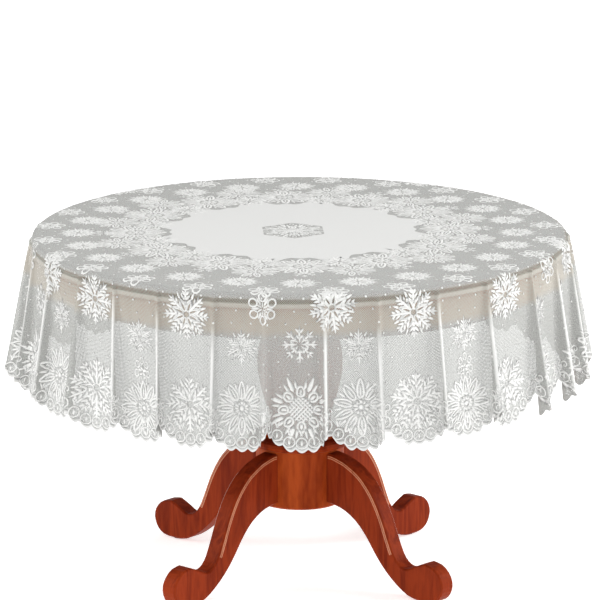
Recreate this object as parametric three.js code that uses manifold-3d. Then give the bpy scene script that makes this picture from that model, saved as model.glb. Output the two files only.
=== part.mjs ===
// A round pedestal table with a round lace cloth draped over it.
// Millimetres, +Z up. The origin is on the floor, under the middle of the table.
import * as THREE from "three";
import { mergeVertices } from "three/addons/utils/BufferGeometryUtils.js";
import Module from "manifold-3d";

const wasm = await Module();
wasm.setup();

// ---- Driving dimensions ----

// Tabletop
const TABLE_DIAMETER = 1143;
const TABLE_HEIGHT = 748;
const TOP_THICKNESS = 25;
const TOP_EDGE_ROUND = 7;

// Tablecloth
const CLOTH_DIAMETER = 1778;
const CLOTH_THICKNESS = 2;
const FOLD_COUNT = 30;
const FOLD_HEIGHT = 30;
const CLOTH_FLARE = 30;
const HEM_SCALLOP = 7;
const CLOTH_EDGE_BEND = 5;

// Apron, bent from quarter rings that meet at glued blocks
const APRON_INSET = 50;
const APRON_HEIGHT = 80;
const APRON_THICKNESS = 20;
const BLOCK_THICKNESS = 24;
const BLOCK_HEIGHT = 54;
const BLOCK_WIDTH = 120;

// Boards under the top
const PLATE_SIZE = 320;
const PLATE_THICKNESS = 22;
const BEARER_LENGTH = 840;
const BEARER_WIDTH = 48;
const BEARER_THICKNESS = 26;
const BEARER_CLEARANCE = 12;

// Pedestal
const DRUM_RADIUS = 95;
const DRUM_BOTTOM = 158;
const DRUM_HEIGHT = 128;
const COLLAR_RADIUS = 112;
const COLLAR_HEIGHT = 18;
const BELLY_RADIUS = 92;
const NECK_RADIUS = 56;

// Tie rod with a washer and a nut at each end
const ROD_RADIUS = 6;
const ROD_CLEARANCE = 2;
const NUT_RADIUS = 11;
const NUT_HEIGHT = 8;
const WASHER_RADIUS = 18;
const WASHER_THICKNESS = 2.5;
const RECESS_RADIUS = 24;
const DRUM_RECESS_DEPTH = 22;
const PLATE_RECESS_DEPTH = 13;
const ROD_PROUD = 1.5;

// Legs
const LEG_COUNT = 4;
const LEG_WIDTH = 38;
const LEG_ARRIS = 3;
const LEG_REACH = 418;
const FOOT_CONTACT_RADIUS = 360;
const DOWEL_RADIUS = 5;
const DOWEL_LENGTH = 42;
const DOWEL_HEIGHTS = [200, 250];
const GLIDE_RADIUS = 11;
const GLIDE_THICKNESS = 3;

// Wood screws
const SCREW_LENGTH = 38;
const SCREW_HEAD_RADIUS = 4.5;
const SCREW_SHANK_RADIUS = 2.2;
const SCREW_HEAD_HEIGHT = 3;

// Clearances
const GAP = 0.3;
const CLOTH_CLEARANCE = 0.8;

// Facets round a turned piece, by how large it is
const WIDE_FACETS = 72;
const TURNED_FACETS = 40;
const SMALL_FACETS = 16;
const FACETS_PER_FOLD = 4;

// ---- Worked-out sizes ----

const topRadius = TABLE_DIAMETER / 2;
const topUnderside = TABLE_HEIGHT - TOP_THICKNESS;
const boardTop = topUnderside - GAP;
const plateBottom = boardTop - PLATE_THICKNESS;
const apronRadius = topRadius - APRON_INSET;
const apronInner = apronRadius - APRON_THICKNESS;
const collarBottom = DRUM_BOTTOM + DRUM_HEIGHT + GAP;
const columnBottom = collarBottom + COLLAR_HEIGHT + GAP;
const columnTop = plateBottom - GAP;
const boreRadius = ROD_RADIUS + ROD_CLEARANCE;
const footBottom = GLIDE_THICKNESS + GAP;

// ---- Materials ----

const cherry = new THREE.MeshStandardMaterial({ color: 0x6e2412, roughness: 0.3, metalness: 0 });
const hiddenWood = new THREE.MeshStandardMaterial({ color: 0xb08658, roughness: 0.7, metalness: 0 });
const zincSteel = new THREE.MeshStandardMaterial({ color: 0xb4b6b8, roughness: 0.35, metalness: 1 });
const glidePlastic = new THREE.MeshStandardMaterial({ color: 0x4a3626, roughness: 0.5, metalness: 0 });
const lace = new THREE.MeshStandardMaterial({ color: 0xe9ebe8, roughness: 0.9, metalness: 0 });

// ---- Helpers ----

// A geometry as a solid that can be joined and cut.
function toSolid(geometry) {
  const bare = geometry.clone();
  bare.deleteAttribute("normal");
  bare.deleteAttribute("uv");
  const merged = mergeVertices(bare, 1e-3);
  return new wasm.Manifold(
    new wasm.Mesh({
      numProp: 3,
      vertProperties: merged.attributes.position.array,
      triVerts: new Uint32Array(merged.index.array),
    }),
  );
}

// A solid back as a geometry.
function toGeometry(solid) {
  const mesh = solid.getMesh();
  const geometry = new THREE.BufferGeometry();
  geometry.setAttribute("position", new THREE.BufferAttribute(mesh.vertProperties, 3));
  geometry.setIndex(new THREE.BufferAttribute(mesh.triVerts, 1));
  geometry.computeVertexNormals();
  return geometry;
}

function cut(geometry, cutters) {
  const body = cutters.reduce((solid, cutter) => solid.subtract(toSolid(cutter)), toSolid(geometry));
  return toGeometry(body);
}

// A profile of [radius, height] points turned about the Z axis.
function turned(profile, segments) {
  const points = profile.map(([radius, height]) => new THREE.Vector2(radius, height));
  return new THREE.LatheGeometry(points, segments).rotateX(Math.PI / 2);
}

// A solid rod along Z between two heights.
function rod(radius, low, high, segments = SMALL_FACETS) {
  return turned([[0, low], [radius, low], [radius, high], [0, high]], segments);
}

// A smooth curve through [radius, height] points, as a list of points.
function smooth(points, steps) {
  const curve = new THREE.SplineCurve(points.map(([x, y]) => new THREE.Vector2(x, y)));
  return curve.getPoints(steps).map((point) => [point.x, point.y]);
}

function addMesh(parent, name, geometry, material) {
  const mesh = new THREE.Mesh(geometry, material);
  mesh.name = name;
  parent.add(mesh);
  return mesh;
}

const table = new THREE.Group();
table.name = "lace_covered_table";

// ---- Screws: countersunk, driven upwards ----

// The screw's head lies at height zero and its tip points up; clearance makes it a pilot hole.
function screwGeometry(clearance = 0) {
  const head = SCREW_HEAD_RADIUS + clearance;
  const shank = SCREW_SHANK_RADIUS + clearance;
  const length = SCREW_LENGTH + clearance;
  return turned(
    [[0, -clearance], [head, -clearance], [shank, SCREW_HEAD_HEIGHT], [shank, length - 6], [0, length]],
    12,
  );
}

const screwInset = 28;
const bearerY = PLATE_SIZE / 2 + BEARER_CLEARANCE + BEARER_WIDTH / 2;
const plateScrewOffset = PLATE_SIZE / 2 - screwInset;
const bearerScrewX = BEARER_LENGTH / 2 - 2 * screwInset;
const bearerBottom = boardTop - BEARER_THICKNESS;
const screwSites = [];
for (const x of [-1, 1]) {
  for (const y of [-1, 1]) {
    screwSites.push({ board: "plate", x: x * plateScrewOffset, y: y * plateScrewOffset, low: plateBottom });
    screwSites.push({ board: "bearer", x: x * bearerScrewX, y: y * bearerY, low: bearerBottom });
  }
}

// Each head is sunk a hair below its board's face.
function pilotHoles(board) {
  return screwSites
    .filter((site) => !board || site.board === board)
    .map((site) => screwGeometry(GAP).translate(site.x, site.y, site.low + GAP));
}

const screwCount = { plate: 0, bearer: 0 };
for (const site of screwSites) {
  screwCount[site.board] += 1;
  const screw = addMesh(table, `${site.board}_screw_${screwCount[site.board]}`, screwGeometry(), zincSteel);
  screw.position.set(site.x, site.y, site.low + GAP);
}

// ---- Tabletop ----

const edge = TOP_EDGE_ROUND;
const tabletopBlank = turned(
  [
    [0, topUnderside],
    [topRadius - edge, topUnderside],
    [topRadius - edge / 3, topUnderside + edge / 3],
    [topRadius, topUnderside + edge],
    [topRadius, TABLE_HEIGHT - edge],
    [topRadius - edge / 3, TABLE_HEIGHT - edge / 3],
    [topRadius - edge, TABLE_HEIGHT],
    [0, TABLE_HEIGHT],
  ],
  WIDE_FACETS,
);
addMesh(table, "tabletop", cut(tabletopBlank, pilotHoles()), cherry);

// ---- Apron: four quarter rings and a glued block behind each joint ----

// Part of a ring between two radii, centred on an azimuth.
function ringPart(inner, outer, azimuth, halfAngle, height, segments) {
  const shape = new THREE.Shape();
  shape.absarc(0, 0, outer, azimuth - halfAngle, azimuth + halfAngle, false);
  shape.absarc(0, 0, inner, azimuth + halfAngle, azimuth - halfAngle, true);
  return new THREE.ExtrudeGeometry(shape, { depth: height, bevelEnabled: false, curveSegments: segments });
}

const quarter = Math.PI / 2;
const apronNames = ["apron_right", "apron_back", "apron_left", "apron_front"];
apronNames.forEach((name, index) => {
  const halfAngle = quarter / 2 - GAP / apronRadius;
  const geometry = ringPart(apronInner, apronRadius, index * quarter, halfAngle, APRON_HEIGHT, 16);
  addMesh(table, name, geometry, cherry).position.z = boardTop - APRON_HEIGHT;
});

for (let index = 0; index < 4; index += 1) {
  const outer = apronInner - 2 * GAP;
  const halfAngle = BLOCK_WIDTH / 2 / outer;
  const azimuth = (index + 0.5) * quarter;
  const geometry = ringPart(outer - BLOCK_THICKNESS, outer, azimuth, halfAngle, BLOCK_HEIGHT, 4);
  addMesh(table, `apron_block_${index + 1}`, geometry, hiddenWood).position.z = boardTop - BLOCK_HEIGHT;
}

// ---- Boards screwed under the top ----

const plateBlank = new THREE.BoxGeometry(PLATE_SIZE, PLATE_SIZE, PLATE_THICKNESS);
plateBlank.translate(0, 0, boardTop - PLATE_THICKNESS / 2);
const plateCutters = [
  rod(boreRadius, plateBottom - 1, boardTop + 1),
  rod(RECESS_RADIUS, boardTop - PLATE_RECESS_DEPTH, boardTop + 1, SMALL_FACETS),
  ...pilotHoles("plate"),
];
addMesh(table, "mounting_plate", cut(plateBlank, plateCutters), hiddenWood);

["bearer_front", "bearer_back"].forEach((name, index) => {
  const side = index === 0 ? -1 : 1;
  const blank = new THREE.BoxGeometry(BEARER_LENGTH, BEARER_WIDTH, BEARER_THICKNESS);
  blank.translate(0, side * bearerY, boardTop - BEARER_THICKNESS / 2);
  addMesh(table, name, cut(blank, pilotHoles("bearer")), hiddenWood);
});

// ---- Pedestal: drum, collar and vase column, bored for the tie rod ----

const drumTop = DRUM_BOTTOM + DRUM_HEIGHT;
const recessTop = DRUM_BOTTOM + DRUM_RECESS_DEPTH;
const drumBlank = turned(
  [
    [boreRadius, recessTop],
    [RECESS_RADIUS, recessTop],
    [RECESS_RADIUS, DRUM_BOTTOM],
    [DRUM_RADIUS - 4, DRUM_BOTTOM],
    [DRUM_RADIUS, DRUM_BOTTOM + 4],
    [DRUM_RADIUS, drumTop],
    [boreRadius, drumTop],
    [boreRadius, recessTop],
  ],
  TURNED_FACETS,
);

const legAngles = [];
for (let index = 0; index < LEG_COUNT; index += 1) {
  legAngles.push(((index + 0.5) * 2 * Math.PI) / LEG_COUNT);
}

// A dowel or its hole, lying along X with its middle at the drum's face.
function dowelGeometry(height, clearance = 0) {
  const half = DOWEL_LENGTH / 2 + clearance;
  const pin = rod(DOWEL_RADIUS + clearance, -half, half, 12);
  return pin.rotateY(Math.PI / 2).translate(DRUM_RADIUS, 0, height);
}

const dowelHoles = legAngles.flatMap((angle) =>
  DOWEL_HEIGHTS.map((height) => dowelGeometry(height, GAP).rotateZ(angle)),
);
addMesh(table, "pedestal_drum", cut(drumBlank, dowelHoles), cherry);

const collarMiddle = collarBottom + COLLAR_HEIGHT / 2;
const collarTop = collarBottom + COLLAR_HEIGHT;
const collarBead = [];
const beadSteps = 4;
for (let step = 0; step <= beadSteps; step += 1) {
  const turn = (step / beadSteps - 0.5) * Math.PI;
  const reach = COLLAR_RADIUS - COLLAR_HEIGHT / 2 + (COLLAR_HEIGHT / 2) * Math.cos(turn);
  collarBead.push([reach, collarMiddle + (COLLAR_HEIGHT / 2) * Math.sin(turn)]);
}
const collarProfile = [
  [boreRadius, collarBottom],
  ...collarBead,
  [boreRadius, collarTop],
  [boreRadius, collarBottom],
];
addMesh(table, "pedestal_collar", turned(collarProfile, TURNED_FACETS), cherry);

// The vase: a foot ring, a belly, a long neck with a bead, and a flared head.
const columnHeight = columnTop - columnBottom;
const at = (share) => columnBottom + share * columnHeight;
const vaseCurve = smooth(
  [
    [NECK_RADIUS + 14, at(0.05)],
    [NECK_RADIUS + 10, at(0.1)],
    [BELLY_RADIUS - 6, at(0.28)],
    [BELLY_RADIUS, at(0.42)],
    [BELLY_RADIUS - 10, at(0.56)],
    [NECK_RADIUS + 6, at(0.68)],
    [NECK_RADIUS, at(0.76)],
  ],
  14,
);
const columnProfile = [
  [boreRadius, columnBottom],
  [NECK_RADIUS + 28, columnBottom],
  [NECK_RADIUS + 30, at(0.015)],
  [NECK_RADIUS + 24, at(0.035)],
  ...vaseCurve,
  [NECK_RADIUS + 10, at(0.775)],
  [NECK_RADIUS + 16, at(0.795)],
  [NECK_RADIUS + 10, at(0.815)],
  [NECK_RADIUS + 1, at(0.83)],
  [NECK_RADIUS + 6, at(0.89)],
  [NECK_RADIUS + 22, at(0.94)],
  [NECK_RADIUS + 32, at(0.955)],
  [NECK_RADIUS + 32, columnTop],
  [boreRadius, columnTop],
  [boreRadius, columnBottom],
];
addMesh(table, "vase_column", turned(columnProfile, TURNED_FACETS), cherry);

// ---- Tie rod, washers and nuts ----

// Both washers bear on the floor of their recess, and both nuts on their washer.
const lowWasherTop = recessTop - GAP;
const lowNutTop = lowWasherTop - WASHER_THICKNESS - GAP;
const highWasherLow = boardTop - PLATE_RECESS_DEPTH + GAP;
const highNutLow = highWasherLow + WASHER_THICKNESS + GAP;
const nutBore = ROD_RADIUS + GAP;

function ringSolid(inner, outer, low, high, segments) {
  return turned([[inner, low], [outer, low], [outer, high], [inner, high], [inner, low]], segments);
}

addMesh(
  table,
  "washer_low",
  ringSolid(nutBore, WASHER_RADIUS, lowWasherTop - WASHER_THICKNESS, lowWasherTop, SMALL_FACETS),
  zincSteel,
);
addMesh(
  table,
  "washer_high",
  ringSolid(nutBore, WASHER_RADIUS, highWasherLow, highWasherLow + WASHER_THICKNESS, SMALL_FACETS),
  zincSteel,
);

// A hexagon with a round bore.
function nutGeometry(low) {
  const hexagon = new THREE.Shape();
  for (let corner = 0; corner < 6; corner += 1) {
    const turn = (corner * Math.PI) / 3;
    const place = [NUT_RADIUS * Math.cos(turn), NUT_RADIUS * Math.sin(turn)];
    if (corner === 0) hexagon.moveTo(...place);
    else hexagon.lineTo(...place);
  }
  hexagon.closePath();
  const bore = new THREE.Path();
  bore.absarc(0, 0, nutBore, 0, 2 * Math.PI, true);
  hexagon.holes.push(bore);
  const options = { depth: NUT_HEIGHT, bevelEnabled: false, curveSegments: 16 };
  return new THREE.ExtrudeGeometry(hexagon, options).translate(0, 0, low);
}
addMesh(table, "nut_low", nutGeometry(lowNutTop - NUT_HEIGHT), zincSteel);
addMesh(table, "nut_high", nutGeometry(highNutLow), zincSteel);
addMesh(
  table,
  "tie_rod",
  rod(ROD_RADIUS, lowNutTop - NUT_HEIGHT - ROD_PROUD, highNutLow + NUT_HEIGHT + ROD_PROUD / 2),
  zincSteel,
);

// ---- Legs ----

// The side view of a leg: out and down from the drum, a pinched ankle and an upturned scroll toe.
const kneeTop = smooth(
  [
    [DRUM_RADIUS - 22, 279],
    [DRUM_RADIUS + 14, 278],
    [150, 267],
    [184, 249],
    [212, 223],
    [233, 194],
    [251, 160],
    [267, 122],
    [283, 88],
    [300, 70],
    [319, 66],
    [342, 77],
    [366, 87],
  ],
  30,
);
const toe = smooth(
  [
    [366, 87],
    [392, 82],
    [412, 64],
    [LEG_REACH, 42],
    [410, 20],
    [394, 7],
    [FOOT_CONTACT_RADIUS + 14, footBottom],
  ],
  14,
);
const underside = smooth(
  [
    [FOOT_CONTACT_RADIUS - 16, footBottom],
    [318, 9],
    [284, 29],
    [252, 56],
    [228, 83],
    [206, 112],
    [180, 139],
    [150, 158],
    [118, 168],
    [DRUM_RADIUS - 22, 172],
  ],
  20,
);
const legShape = new THREE.Shape(
  [...kneeTop, ...toe.slice(1), ...underside].map(([x, y]) => new THREE.Vector2(x, y)),
);
const legBlank = new THREE.ExtrudeGeometry(legShape, {
  depth: LEG_WIDTH - 2 * LEG_ARRIS,
  bevelThickness: LEG_ARRIS,
  bevelSize: LEG_ARRIS,
  bevelOffset: -LEG_ARRIS,
  bevelSegments: 1,
});
legBlank.translate(0, 0, LEG_ARRIS - LEG_WIDTH / 2).rotateX(Math.PI / 2);

// The leg's root is scooped to the drum, and ends under the collar.
const legCutters = [
  rod(DRUM_RADIUS + GAP, 0, collarTop, TURNED_FACETS),
  rod(COLLAR_RADIUS + GAP, collarBottom - GAP, collarTop + COLLAR_HEIGHT, TURNED_FACETS),
  ...DOWEL_HEIGHTS.map((height) => dowelGeometry(height, GAP)),
];
const legGeometry = cut(legBlank, legCutters);
const glideGeometry = rod(GLIDE_RADIUS, 0, GLIDE_THICKNESS, 16).translate(FOOT_CONTACT_RADIUS, 0, 0);
const legNames = ["back_right", "back_left", "front_left", "front_right"];
legAngles.forEach((angle, index) => {
  const side = legNames[index] ?? `number_${index + 1}`;
  const legGroup = new THREE.Group();
  legGroup.rotation.z = angle;
  addMesh(legGroup, `leg_${side}`, legGeometry, cherry);
  addMesh(legGroup, `foot_glide_${side}`, glideGeometry, glidePlastic);
  DOWEL_HEIGHTS.forEach((height, row) => {
    const place = row === 0 ? "low" : "high";
    addMesh(legGroup, `dowel_${side}_${place}`, dowelGeometry(height), hiddenWood);
  });
  table.add(legGroup);
});

// ---- Tablecloth: one sheet, flat on the top and falling in narrow folds to a scalloped hem ----

const clothInner = topRadius + CLOTH_CLEARANCE;
const clothOuter = clothInner + CLOTH_THICKNESS;
const clothUnder = TABLE_HEIGHT + CLOTH_CLEARANCE / 2;
const clothTop = clothUnder + CLOTH_THICKNESS;
const fallLength = (CLOTH_DIAMETER - TABLE_DIAMETER) / 2;
const clothDrop = Math.sqrt(fallLength ** 2 - CLOTH_FLARE ** 2);
const fallShares = [0.06, 0.2, 0.45, 0.72, 1];

// The sheet's section: the falling part is straight here, and folded afterwards.
const fallHeights = fallShares.map((share) => clothTop - share * clothDrop);
const clothProfile = [
  [0, clothUnder],
  [clothInner - CLOTH_EDGE_BEND, clothUnder],
  [clothInner, clothUnder - CLOTH_EDGE_BEND / 2],
  ...fallHeights.map((height) => [clothInner, height]),
  ...fallHeights.toReversed().map((height) => [clothOuter, height]),
  [clothOuter, clothTop - CLOTH_EDGE_BEND],
  [clothOuter - CLOTH_EDGE_BEND, clothTop],
  [0, clothTop],
];
const clothGeometry = turned(clothProfile, FACETS_PER_FOLD * FOLD_COUNT);

// Each point below the edge swings out with the flare, and further where a fold stands proud.
const spots = clothGeometry.attributes.position;
for (let index = 0; index < spots.count; index += 1) {
  const x = spots.getX(index);
  const y = spots.getY(index);
  const z = spots.getZ(index);
  const share = THREE.MathUtils.clamp((clothTop - z) / clothDrop, 0, 1);
  const isFall = Math.hypot(x, y) > clothInner - 1;
  if (!isFall) continue;
  const azimuth = Math.atan2(y, x);
  const ridge = Math.cos((FOLD_COUNT * azimuth) / 2) ** 6;
  const reach = CLOTH_FLARE * share ** 1.3 + FOLD_HEIGHT * ridge * share ** 0.8 * (1 - 0.15 * share);
  const scale = 1 + reach / Math.hypot(x, y);
  const scallop = HEM_SCALLOP * Math.cos(FOLD_COUNT * azimuth) * share ** 4;
  spots.setXYZ(index, x * scale, y * scale, z + scallop);
}
addMesh(table, "tablecloth", clothGeometry, lace);

export default table;
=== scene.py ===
import contextlib
import functools
import math

import bmesh
import bpy
import numpy as np
from bpy.props import FloatProperty, FloatVectorProperty, PointerProperty
from mathutils import Matrix, Vector


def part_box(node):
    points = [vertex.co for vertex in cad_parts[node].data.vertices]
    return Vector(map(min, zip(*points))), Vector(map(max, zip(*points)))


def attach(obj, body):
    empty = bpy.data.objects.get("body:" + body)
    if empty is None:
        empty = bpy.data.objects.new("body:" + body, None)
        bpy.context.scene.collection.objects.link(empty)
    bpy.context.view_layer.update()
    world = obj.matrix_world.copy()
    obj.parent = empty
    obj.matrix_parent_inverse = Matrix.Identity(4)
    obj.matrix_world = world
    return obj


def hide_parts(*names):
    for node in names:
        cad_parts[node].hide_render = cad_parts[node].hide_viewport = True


bl_info = {
    "name": "Lace tablecloth on a pedestal table",
    "version": (1, 0, 0),
    "blender": (4, 5, 0),
    "location": "View3D > Sidebar > Lace table",
    "description": "Drapes a round lace tablecloth over a cherry pedestal table",
    "category": "Object",
}

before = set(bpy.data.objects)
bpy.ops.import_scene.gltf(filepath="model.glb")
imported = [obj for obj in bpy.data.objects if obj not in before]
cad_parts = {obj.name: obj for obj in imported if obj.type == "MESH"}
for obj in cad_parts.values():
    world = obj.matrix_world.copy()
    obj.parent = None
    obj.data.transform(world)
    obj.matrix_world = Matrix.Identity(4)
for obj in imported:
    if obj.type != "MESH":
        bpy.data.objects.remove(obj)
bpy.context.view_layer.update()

# Places taken from the CAD frame, in metres.
TOP_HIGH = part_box("tabletop")[1]
TABLE_RADIUS = TOP_HIGH.x
TABLE_TOP_Z = TOP_HIGH.z

# Room between the wood and the middle of the cloth, beside the edge and over the top.
EDGE_GAP = 0.0015
TOP_GAP = 0.0012

# Folds of the skirt. Azimuths are in degrees from the front (-Y) towards +X. The folds that
# aren't listed share the rest of the way round, give or take UNEVEN degrees.
FRONT_FOLDS = (-55.5, -44.9, -33.7, -21.0, -10.2, 1.6, 12.4, 25.7, 38.2, 52.8)
FOLD_TOTAL = 30
UNEVEN = 0.9
# Folds that stand out less steeply, by number, with the share of the full angle.
SOFT_FOLDS = {0: 0.86, 4: 0.86, 12: 0.9, 17: 0.88, 22: 0.9, 27: 0.88}
SOFTEST = 0.86
# The stretch of folds that swings, in degrees: its middle and its half width.
SWING_MIDDLE = -42.0
SWING_WIDTH = 17.0

# Along the cloth from the crest of a fold: where its side has become steep, the length over
# which it levels out again at the foot, and the line of bunched thread on the crest itself,
# which also carries a painted highlight.
FOLD_CREST = 0.005
FOLD_FOOT = 0.016
CREST_LINE = 0.002
CREST_FADE = 0.0035
# Sag of a panel between two folds at the hem, and the least spare cloth worth a fold.
PANEL_SAG = 0.007
LEAST_SLACK = 0.0002
FOLD_SAMPLES = 200

# Drape table: how finely and how far out the cloth is worked out before it is meshed.
DRAPE_STEP = 0.004
DRAPE_COLUMNS = FOLD_TOTAL * 64
SPARE_REACH = 0.05
DROP_ROWS = 26

# Repeat of the lace round the cloth: one lobe of the hem, with its scallops.
LACE_REPEAT = math.radians(12.0)
REPEAT_TURN = math.radians(-3.05)
LOBE_DEPTH = 0.048
LOBE_LEVEL = 0.20
SCALLOPS = 7
SCALLOP_RISE = 0.0080
EDGING_OVERHANG = 0.0004
WREATH_FLOWERS = 12

# Lace worked into the net: longest edge left uncut on the flat top and on the hang, and how
# far the lace on the hang stands off the net and how thick it is.
FLAT_EDGE = 0.05
HANG_EDGE = 0.009
HANG_LIFT = 0.0004
HANG_THICKNESS = 0.0006
JOIN = 1e-6

# Woven threads: pitch of the ridges, brightness, strength of the relief and, where the
# weave is pierced, pitch of the openings. PIERCED_THREAD is the thread's share of that pitch.
WEAVES = {
    "lace_linen": (0.0011, 0.98, 0.3),
    "lace_thread": (0.0016, 1.25, 0.6, 0.0031),
    # The hem's thread is the lace thread's yarn, made a little lighter as painted light for the hang.
    "lace_hem_thread_painted_light": (0.0016, 1.30, 0.6, 0.0031),
    "lace_cord": (0.0014, 1.12, 0.6),
}
PIERCED_THREAD = 0.74
THREAD_RELIEF = 0.0003

# Upper line of a leg's side face: distance from the table's axis and height.
LEG_TOP_LINE = ((0.073, 0.279), (0.097, 0.2785), (0.109, 0.278), (0.130, 0.2735), (0.150, 0.267),
                (0.184, 0.249), (0.212, 0.223), (0.233, 0.194), (0.251, 0.160), (0.267, 0.122),
                (0.283, 0.088), (0.300, 0.070))
LEG_HALF_WIDTH = 0.019
BEAD_INSETS = (0.0042, 0.0084)
BEAD_HALF_WIDTH = 0.0013
BEAD_HEIGHT = 0.0011

# Cuts of cherry: the axis that the grain follows, and what differs from the uprights.
CHERRY_FINISHES = {
    "cherry_upright": {"along": 2},
    "cherry_top": {"along": 0, "light": (0.22, 0.034, 0.010), "dark": (0.11, 0.014, 0.005),
                   "roughness": 0.3, "coat": 0.3, "gloss": 0.3},
    "cherry_drum": {"along": 2, "light": (0.42, 0.070, 0.013), "dark": (0.21, 0.024, 0.004),
                    "figure": 0.38},
    # Painted light: the column and apron cherry is lighter than the uprights, to make up for the shade under
    # the cloth.
    "cherry_column_painted_light": {"along": 2, "light": (0.34, 0.052, 0.011), "dark": (0.18, 0.020, 0.004),
                      "figure": 0.6},
}
# What each CAD node is made of, by how its name begins. The first match counts, and a node
# with none is upright cherry.
NODE_FINISHES = (
    ("lace_net", ("tablecloth",)),
    ("poplar_unfinished", ("apron_block", "mounting_plate", "bearer_front", "bearer_back", "dowel")),
    ("zinc_plated_steel", ("plate_screw", "bearer_screw", "tie_rod", "washer", "nut")),
    ("glide_nylon", ("foot_glide",)),
    ("cherry_drum", ("pedestal_drum",)),
    ("cherry_column_painted_light", ("vase_column", "apron_")),
    ("cherry_top", ("tabletop",)),
)

# Studio: name, place, power in watts and side of each softbox, and the backdrop's strength
# as light and as the camera sees it.
SOFTBOXES = (
    ("key_softbox", (-1.3, -3.0, 4.6), 100.0, 2.2),
    ("fill_softbox", (2.6, -3.6, 2.2), 20.0, 2.0),
    ("top_softbox", (0.0, 0.3, 5.2), 48.0, 3.0),
    ("left_softbox", (-4.0, -0.6, 2.1), 60.0, 2.0),
    ("right_softbox", (4.0, -0.6, 2.1), 115.0, 2.0),
)
LIGHTS_AIM = Vector((0.0, 0.0, 0.45))
CAMERA_AIM = Vector((0.0, 0.0, 0.600))
BACKDROP_LIGHT = 0.54
BACKDROP_SEEN = 1.02


def metres(name, default, description):
    return FloatProperty(name=name, default=default, description=description,
                         unit="LENGTH", subtype="DISTANCE")


def radians(name, default, description):
    return FloatProperty(name=name, default=default, description=description,
                         unit="ROTATION", subtype="ANGLE")


def tint(name, default, description):
    return FloatVectorProperty(name=name, description=description, default=default, size=3, subtype="COLOR")


class ClothSizes(bpy.types.PropertyGroup):
    """Sizes and colours of the cloth"""

    diameter: metres("Diameter", 1.778, "Across the flat cloth, tip of lobe to tip of lobe")
    shift_x: metres("Shift across", -0.006, "How far the cloth's middle lies right of the table's axis")
    shift_y: metres("Shift back", -0.006, "How far the cloth's middle lies behind the table's axis")
    drift: FloatVectorProperty(
        name="Pattern drift", description="Place of the woven middle from the middle of the cloth",
        default=(-0.008, 0.020), size=2, unit="LENGTH", subtype="TRANSLATION")
    edge_bend: metres("Edge bend", 0.011, "Radius of the cloth's turn over the table edge")
    flare: radians("Flare", math.radians(7.0), "Lean of the hanging panels away from the vertical at the hem")
    fold_angle: radians("Fold angle", math.radians(88.0), "Steepness of the sides of a fold at the hem")
    swing: radians("Swing", 0.058, "How far the folds of the left front turn round the table by the hem")
    net_pitch: metres("Net pitch", 0.0028, "Distance between two threads of the net")
    net_thread: FloatProperty(
        name="Net thread", description="Width of a net thread as a share of the pitch",
        default=0.66, min=0.05, max=0.95)
    solid_radius: metres("Woven middle", 0.272, "Mean radius of the closely woven middle")
    color: tint("Cotton", (0.60, 0.60, 0.588), "Colour of the bleached thread")
    net_color: tint("Net thread colour", (0.378, 0.382, 0.368), "Colour of the net's finer thread")


class TableSizes(bpy.types.PropertyGroup):
    """Colours and grain of the table"""

    cherry_light: tint("Cherry, light", (0.265, 0.034, 0.008), "Light streaks of the stained cherry")
    cherry_dark: tint("Cherry, dark", (0.145, 0.015, 0.004), "Dark streaks of the stained cherry")
    grain_length: FloatProperty(
        name="Grain stretch", description="How much longer than wide the grain is",
        default=9.0, min=1.0)


class StageSizes(bpy.types.PropertyGroup):
    """Camera and floor"""

    distance: metres("Camera distance", 10.0, "From the camera to the point it looks at")
    azimuth: radians("Camera azimuth", math.radians(-3.35), "Turn of the camera round the table")
    elevation: radians("Camera elevation", math.radians(13.6), "Angle of the camera above the horizon")
    lens: FloatProperty(
        name="Lens", description="Focal length on a 36 mm wide sensor, in millimetres",
        default=280.0, unit="CAMERA")
    floor_size: metres("Floor", 30.0, "Side of the square floor")


# ---------------------------------------------------------------- materials


def new_material(name):
    """A new material, its node tree and its shader."""
    mat = bpy.data.materials.new(name)
    mat.use_nodes = True
    return mat, mat.node_tree, mat.node_tree.nodes["Principled BSDF"]


def add_node(tree, kind, **settings):
    node = tree.nodes.new(kind)
    for key, value in settings.items():
        setattr(node, key, value)
    return node


def math_node(tree, operation, first, second=None):
    node = add_node(tree, "ShaderNodeMath", operation=operation)
    for index, value in enumerate((first, second)):
        if value is None:
            continue
        if isinstance(value, (int, float)):
            node.inputs[index].default_value = value
        else:
            tree.links.new(value, node.inputs[index])
    return node.outputs[0]


def set_inputs(node, values):
    for name, value in values.items():
        node.inputs[name].default_value = value


def colour_ramp(tree, factor, stops):
    """Colour read from a factor; each stop is a position and a colour."""
    ramp = add_node(tree, "ShaderNodeValToRGB")
    while len(ramp.color_ramp.elements) < len(stops):
        ramp.color_ramp.elements.new(0.5)
    for element, (position, colour) in zip(ramp.color_ramp.elements, stops):
        element.position = position
        element.color = (*colour, 1.0)
    tree.links.new(factor, ramp.inputs["Fac"])
    return ramp.outputs["Color"]


def grey_ramp(tree, factor, stops):
    """Plain number read from a factor; each stop is a position and a number."""
    return colour_ramp(tree, factor, tuple((position, (grey,) * 3) for position, grey in stops))


def mixed_colour(tree, factor, socket, colour):
    """The colour of a socket, drawn towards a fixed colour by a factor."""
    mix = add_node(tree, "ShaderNodeMix", data_type="RGBA")
    tree.links.new(factor, mix.inputs[0])
    tree.links.new(socket, mix.inputs[6])
    mix.inputs[7].default_value = (*colour, 1.0)
    return mix.outputs[2]


def noise(tree, place, scale, detail=2.0, distortion=0.0):
    node = add_node(tree, "ShaderNodeTexNoise")
    set_inputs(node, {"Scale": scale, "Detail": detail, "Distortion": distortion})
    tree.links.new(place, node.inputs["Vector"])
    return node.outputs["Fac"]


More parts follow.
